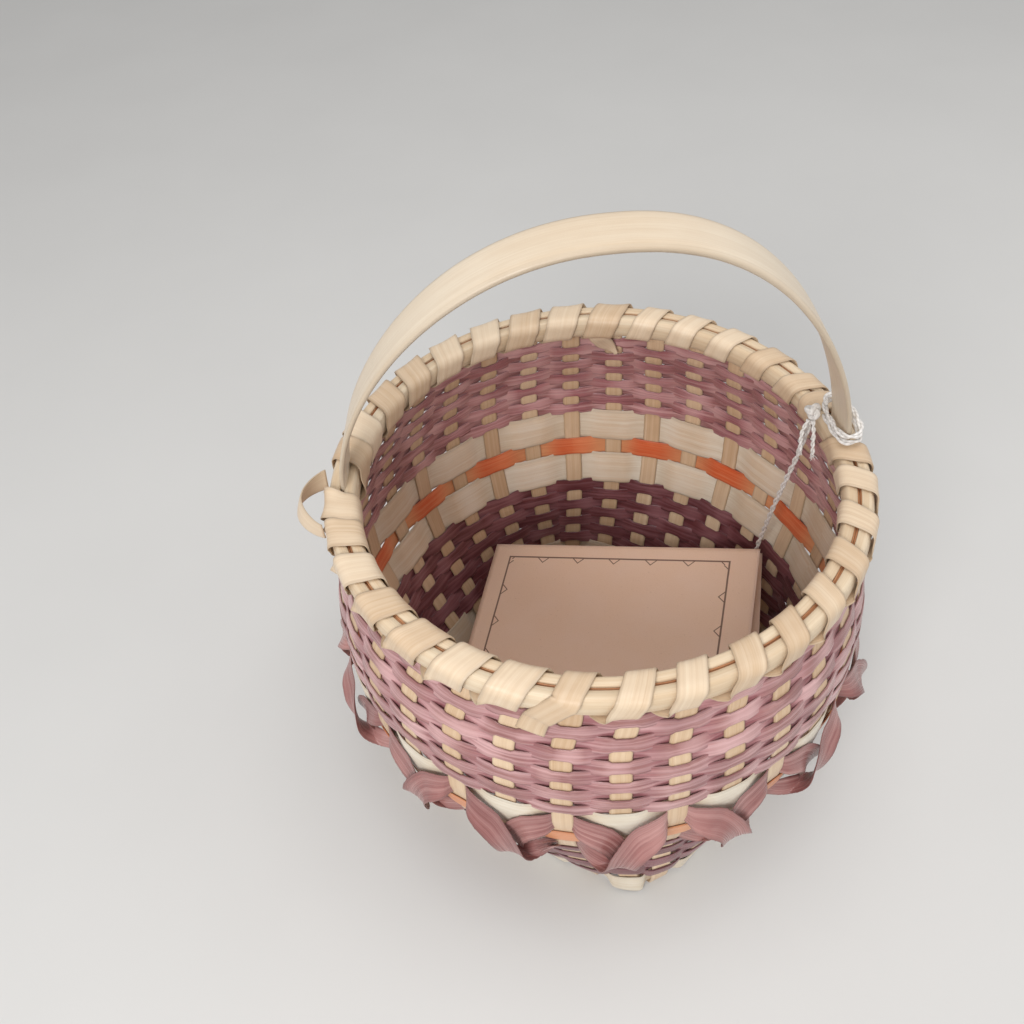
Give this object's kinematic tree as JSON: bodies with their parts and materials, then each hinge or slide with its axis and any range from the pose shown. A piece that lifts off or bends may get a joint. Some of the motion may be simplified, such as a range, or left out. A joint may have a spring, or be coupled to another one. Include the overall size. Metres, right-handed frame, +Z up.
{
  "type": "splint basket",
  "caption": "Round woven splint basket with a square base, lashed rim, curled overlay, fixed hoop handle and a folded card on a string.",
  "frame": {"origin": "middle of the part's footprint, on the surface that the basket stands on", "axes": "+Z up, handle along X, the pictured side faces -Y"},
  "size_m": [0.245, 0.245, 0.2734],
  "materials": {
    "natural_splint": "bare ash splint, satin, with fine grain along the strip",
    "pale_splint": "pale bare splint, satin",
    "plum_splint": "dyed dark plum splint, satin",
    "mauve_splint": "dyed mauve splint with a soft sheen",
    "orange_splint": "dyed orange splint, satin",
    "cotton_string": "twisted cotton, matt",
    "card_paper": "uncoated card stock"
  },
  "bodies": {
    "basket": {"base_splint_a1": "natural_splint", "base_splint_a2": "natural_splint", "base_splint_a3": "natural_splint", "base_splint_a4": "natural_splint", "base_splint_a5": "natural_splint", "base_splint_a6": "natural_splint", "base_splint_a7": "natural_splint", "base_splint_a8": "natural_splint", "base_splint_b1": "natural_splint", "base_splint_b2": "natural_splint", "base_splint_b3": "natural_splint", "base_splint_b4": "natural_splint", "base_splint_b5": "natural_splint", "base_splint_b6": "natural_splint", "base_splint_b7": "natural_splint", "base_splint_b8": "natural_splint", "foot_row": "pale_splint", "plum_row_1": "plum_splint", "plum_row_2": "plum_splint", "plum_row_3": "plum_splint", "plum_row_4": "plum_splint", "plum_row_5": "plum_splint", "plum_row_6": "plum_splint", "plum_row_7": "plum_splint", "lower_wide_row": "pale_splint", "orange_row": "orange_splint", "upper_wide_row": "pale_splint", "mauve_row_1": "mauve_splint", "mauve_row_2": "mauve_splint", "mauve_row_3": "mauve_splint", "mauve_row_4": "mauve_splint", "mauve_row_5": "mauve_splint", "mauve_row_6": "mauve_splint", "mauve_row_7": "mauve_splint", "mauve_row_8": "mauve_splint", "mauve_row_9": "mauve_splint", "mauve_row_10": "mauve_splint", "inner_rim_hoop": "natural_splint", "outer_rim_hoop": "natural_splint", "rim_filler_back": "pale_splint", "rim_filler_front": "pale_splint", "handle": "natural_splint", "rim_lashing_right": "natural_splint", "rim_lashing_left": "natural_splint", "lashing_loop": "natural_splint", "curl_strip_high": "mauve_splint", "curl_strip_low": "mauve_splint", "card_back": "card_paper", "string_run": "cotton_string", "string_loop": "cotton_string", "string_tail_1": "cotton_string", "string_tail_2": "cotton_string", "string_knot": "cotton_string", "string_end_knot": "cotton_string"},
    "card_leaf": {"card_cover": "card_paper"}
  },
  "joints": [
    {"name": "card_fold", "type": "hinge", "parent": "basket", "child": "card_leaf", "pos_m": [-0.0441, 0.08159, 0.0374], "axis": [-0.3032, -0.9484, -0.093], "range_deg": [0, 75]}
  ]
}
